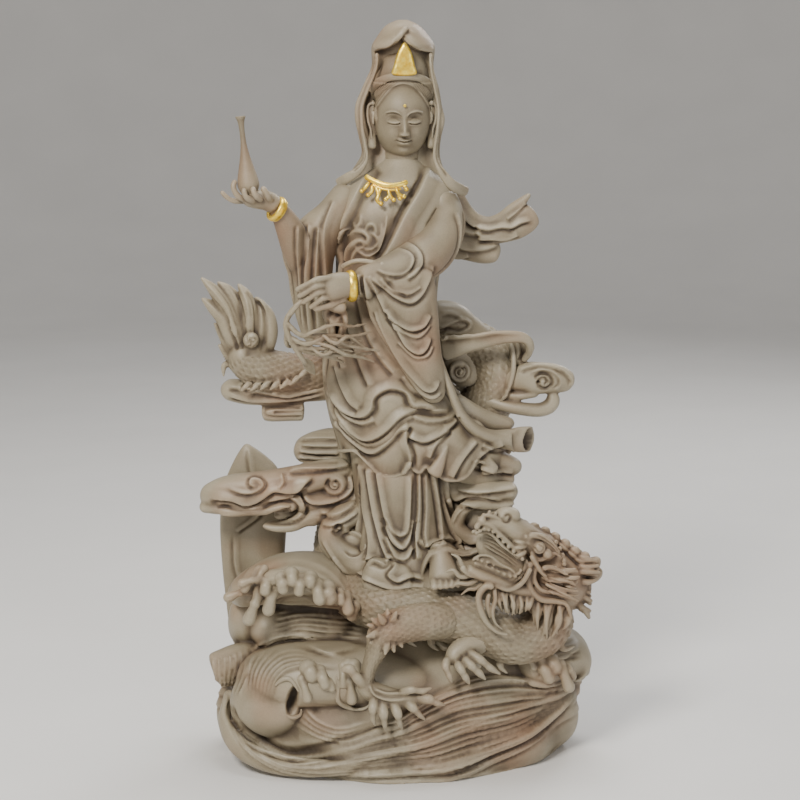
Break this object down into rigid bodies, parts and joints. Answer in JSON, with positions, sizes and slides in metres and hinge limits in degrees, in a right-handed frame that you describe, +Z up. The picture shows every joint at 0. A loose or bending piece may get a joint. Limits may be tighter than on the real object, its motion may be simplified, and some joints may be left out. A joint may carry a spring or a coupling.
{
  "type": "guanyin figure",
  "caption": "Standing guanyin in veil and robe, with a raised vase and a willow branch, above a coiled dragon, clouds and a base of breaking waves.",
  "frame": {"origin": "centre of the flat underside of the wave base, where it stands", "axes": "+Z up, -Y toward the viewer in front of the figure, +X to that viewer's right"},
  "size_m": [0.3275, 0.2036, 0.599],
  "materials": {
    "stoneware": "matt unglazed brown stoneware, paler on raised edges and darker in the hollows",
    "gilding": "bright gold leaf on the crown plate, necklace and bracelets"
  },
  "bodies": {
    "root": {"guanyin_figure": "stoneware"}
  },
  "joints": []
}
